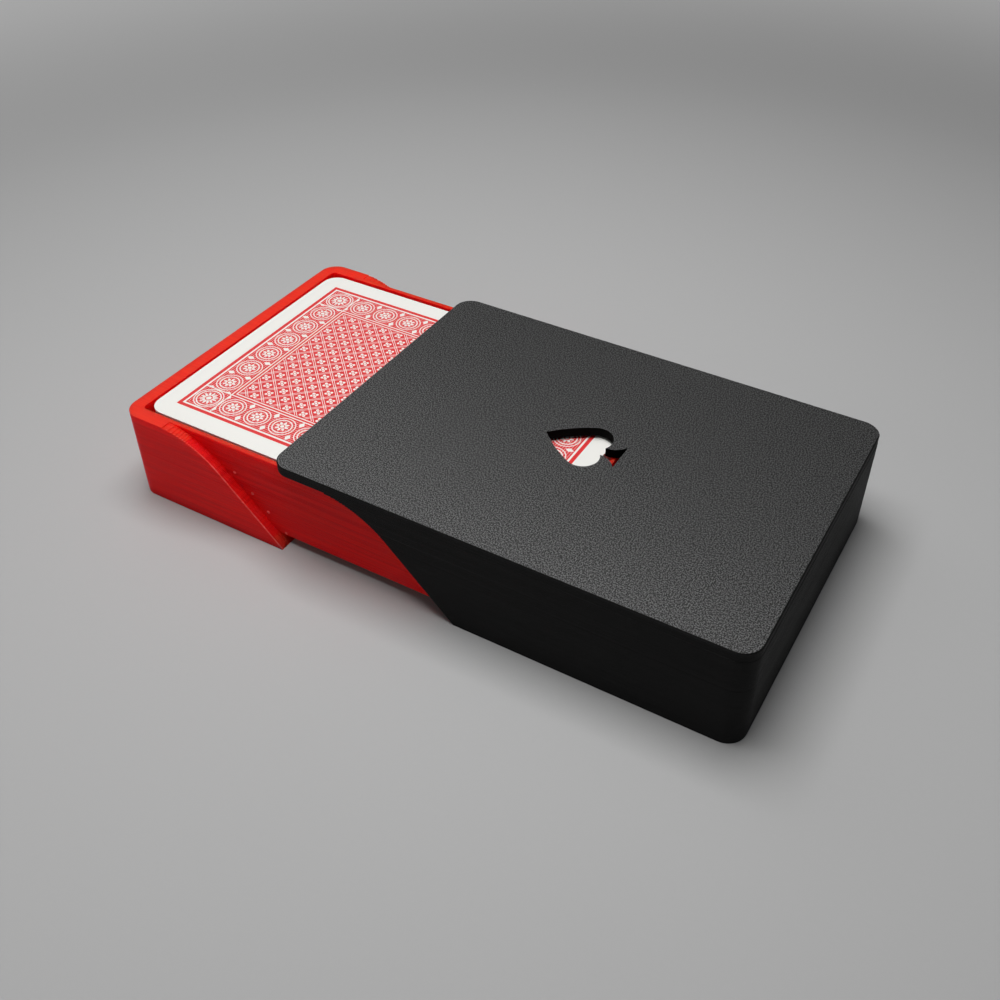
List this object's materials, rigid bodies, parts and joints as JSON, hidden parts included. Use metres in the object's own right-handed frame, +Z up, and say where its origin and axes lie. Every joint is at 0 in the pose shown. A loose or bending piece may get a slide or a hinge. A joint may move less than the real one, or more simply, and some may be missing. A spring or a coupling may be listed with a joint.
{
  "type": "playing card box with drawer",
  "caption": "Slide box for one deck of poker-size cards: a sleeve with a spade-shaped window in its roof and a tray that draws out with the deck in it, parted along an S-curve.",
  "frame": {"origin": "centre of the sleeve's footprint (closed box without drawer), at the table", "axes": "+X to the sleeve's closed end (the drawer draws out along -X), +Y to the far long side, +Z up"},
  "size_m": [0.1384, 0.0716, 0.023],
  "materials": {
    "black_print": "3-D-printed black plastic: grained on the roof, where it lay on a textured bed, and fine layer lines on the sides",
    "red_print": "3-D-printed red plastic, satin, with visible layer lines",
    "card_stock": "coated white card, seen as the edge of the deck",
    "card_back": null
  },
  "bodies": {
    "case": {"sleeve": "black_print"},
    "drawer": {"tray": "red_print", "card_01": "card_stock", "card_02": "card_stock", "card_03": "card_stock", "card_04": "card_stock", "card_05": "card_stock", "card_06": "card_stock", "card_07": "card_stock", "card_08": "card_stock", "card_09": "card_stock", "card_10": "card_stock", "card_11": "card_stock", "card_12": "card_stock", "card_13": "card_stock", "card_14": "card_stock", "card_15": "card_stock", "card_16": "card_stock", "card_17": "card_stock", "card_18": "card_stock", "card_19": "card_stock", "card_20": "card_stock", "card_21": "card_stock", "card_22": "card_stock", "card_23": "card_stock", "card_24": "card_stock", "card_25": "card_stock", "card_26": "card_stock", "card_27": "card_stock", "card_28": "card_stock", "card_29": "card_stock", "card_30": "card_stock", "card_31": "card_stock", "card_32": "card_stock", "card_33": "card_stock", "card_34": "card_stock", "card_35": "card_stock", "card_36": "card_stock", "card_37": "card_stock", "card_38": "card_stock", "card_39": "card_stock", "card_40": "card_stock", "card_41": "card_stock", "card_42": "card_stock", "card_43": "card_stock", "card_44": "card_stock", "card_45": "card_stock", "card_46": "card_stock", "card_47": "card_stock", "card_48": "card_stock", "card_49": "card_stock", "card_50": "card_stock", "card_51": "card_stock", "card_52": "card_stock", "card_53": "card_stock", "card_54": "card_back"}
  },
  "joints": [
    {"name": "drawer_slide", "type": "slide", "parent": "case", "child": "drawer", "axis": [-1, 0, 0], "range_m": [-0.041, 0.058]}
  ]
}
